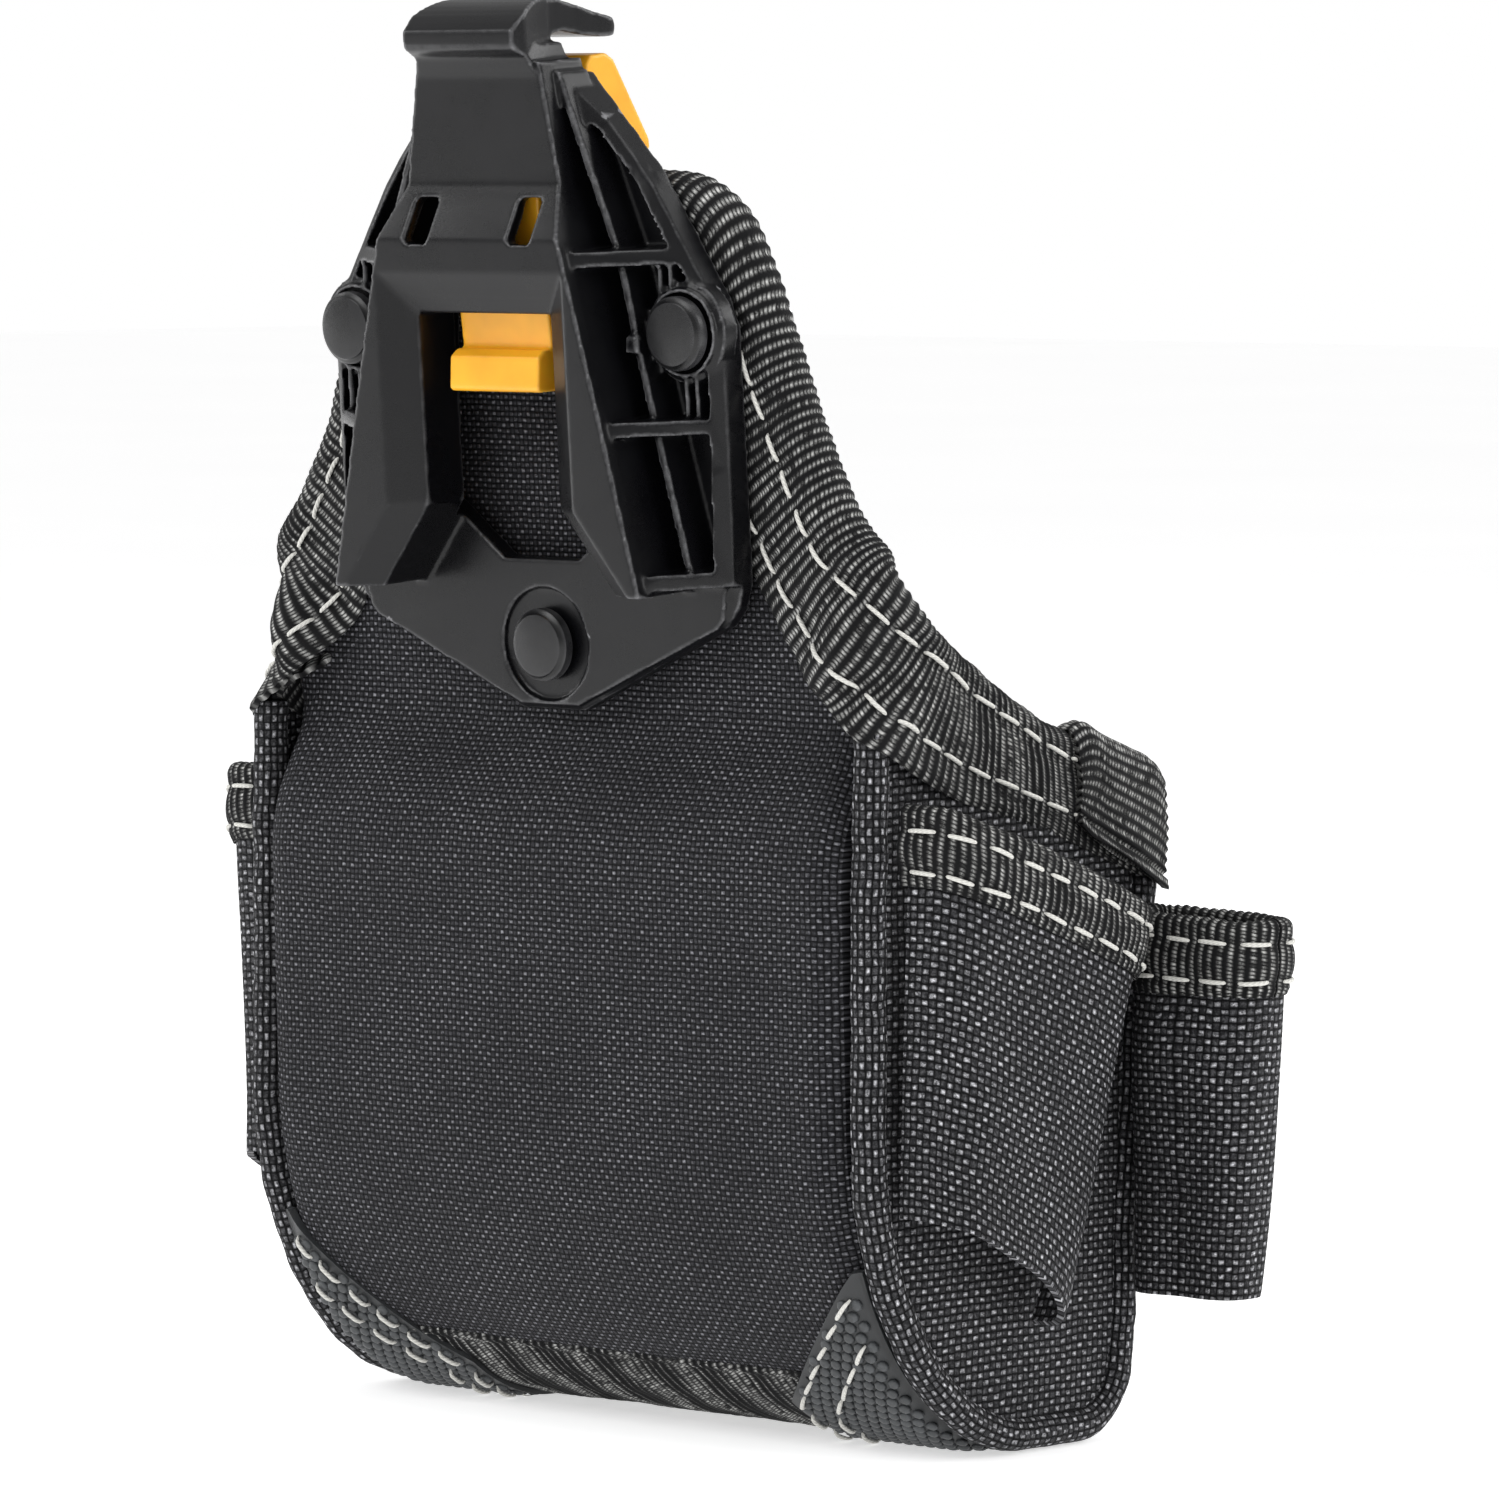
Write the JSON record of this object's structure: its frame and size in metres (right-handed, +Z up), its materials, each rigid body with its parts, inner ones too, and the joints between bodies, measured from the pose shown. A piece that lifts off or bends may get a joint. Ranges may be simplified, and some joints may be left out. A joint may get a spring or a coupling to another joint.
{
  "type": "electrician tool pouch",
  "caption": "Leaning fabric tool pouch with padded back, side tool loops, bound edges and a riveted plastic belt clip with a release lever.",
  "frame": {"origin": "on the ground under the middle of the whole pouch", "axes": "+Z up, -Y towards the wearer's belt and the clip, +X to the right as seen from the belt side"},
  "size_m": [0.2174, 0.113, 0.256],
  "materials": {
    "cloth": "charcoal black coated ballistic weave",
    "lining": "plain black lining cloth",
    "foam": "dark grey closed-cell foam",
    "webbing": "black ribbed webbing with off-white stitching",
    "patch": "black rubberised cloth with raised dots",
    "sheet_plastic": "plain black sheet",
    "clip_nylon": "satin black moulded nylon",
    "lever_plastic": "satin amber moulding",
    "black_steel": "black satin coating",
    "bright_steel": "plated"
  },
  "bodies": {
    "pouch": {"back_panel": "cloth", "front_panel": "cloth", "front_pocket": "cloth", "gusset_left": "cloth", "gusset_right": "cloth", "piping_left": "cloth", "piping_right": "cloth", "side_loop_left": "cloth", "side_loop_right": "cloth", "front_loop_left": "cloth", "front_loop_right": "cloth", "back_lining": "lining", "back_foam": "foam", "top_binding": "webbing", "bottom_webbing": "webbing", "front_binding": "webbing", "front_pocket_binding": "webbing", "gusset_binding_left": "webbing", "gusset_binding_right": "webbing", "corner_tab_left": "webbing", "corner_tab_right": "webbing", "side_loop_binding_left": "webbing", "side_loop_binding_right": "webbing", "front_loop_binding_left": "webbing", "front_loop_binding_right": "webbing", "corner_patch_left": "patch", "corner_patch_right": "patch", "back_stiffener": "sheet_plastic", "bottom_board": "sheet_plastic", "clip_body": "clip_nylon", "rivet_left": "black_steel", "rivet_right": "black_steel", "rivet_bottom": "black_steel", "washer_left": "bright_steel", "washer_right": "bright_steel", "washer_bottom": "bright_steel", "pivot_pin": "bright_steel", "return_spring": "bright_steel"},
    "release_lever": {"release_lever": "lever_plastic"}
  },
  "joints": [
    {"name": "lever_pivot", "type": "hinge", "parent": "pouch", "child": "release_lever", "pos_m": [0, -0.04472, 0.21833], "axis": [1, 0, 0], "range_deg": [0, 8], "stiffness_Nm_per_rad": 0.9, "springref_deg": -5.73, "deforming": ["return_spring"]}
  ]
}
